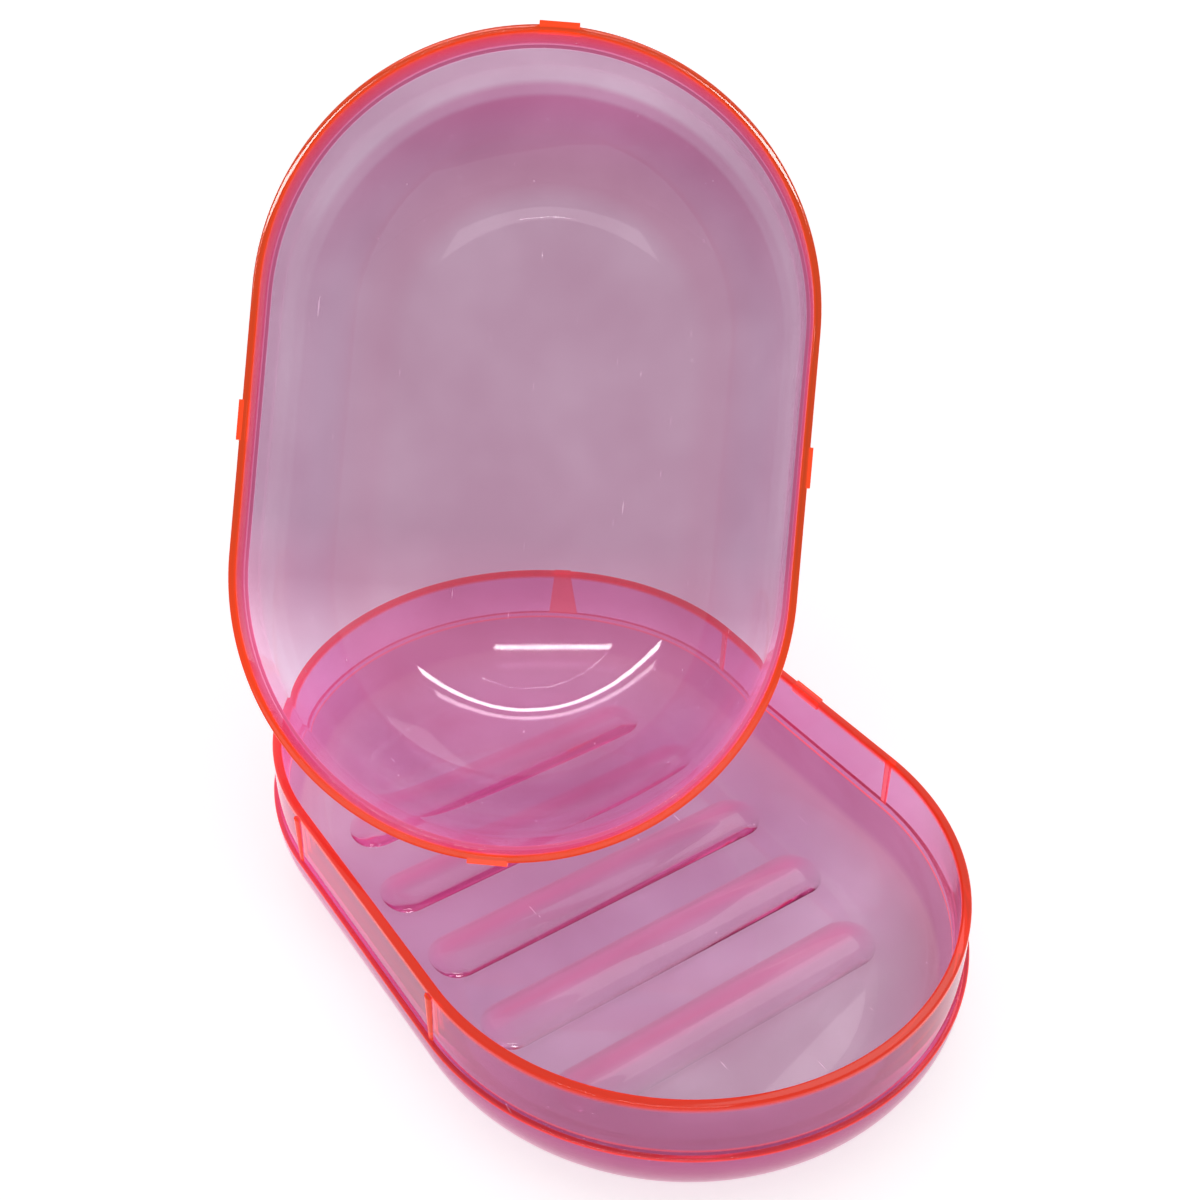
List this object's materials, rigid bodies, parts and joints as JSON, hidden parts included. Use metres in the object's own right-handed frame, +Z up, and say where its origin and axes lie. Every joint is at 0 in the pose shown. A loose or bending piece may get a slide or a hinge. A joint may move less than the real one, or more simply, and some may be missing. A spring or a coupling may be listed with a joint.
{
  "type": "soap dish",
  "caption": "Round-ended travel soap dish in clear pink plastic: a ribbed tray with an upright rim, and a deep lid that stands in it and slips over the rim to close.",
  "frame": {"origin": "middle of the tray's flat underside, where the dish rests", "axes": "+X along the tray towards its open end, +Z up, +Y towards the long side with the catch pad"},
  "size_m": [0.1269, 0.0884, 0.1027],
  "materials": {
    "tray_plastic": "polished clear moulding, tinted fluorescent pink, edges glow orange-red",
    "lid_plastic": "polished clear moulding, tinted fluorescent pink, edges glow orange-red"
  },
  "bodies": {
    "tray": {"tray": "tray_plastic"},
    "lid": {"lid": "lid_plastic"}
  },
  "joints": [
    {"name": "lid_lift", "type": "slide", "parent": "tray", "child": "lid", "axis": [0, 0, 1], "range_m": [0, 0.05]}
  ]
}
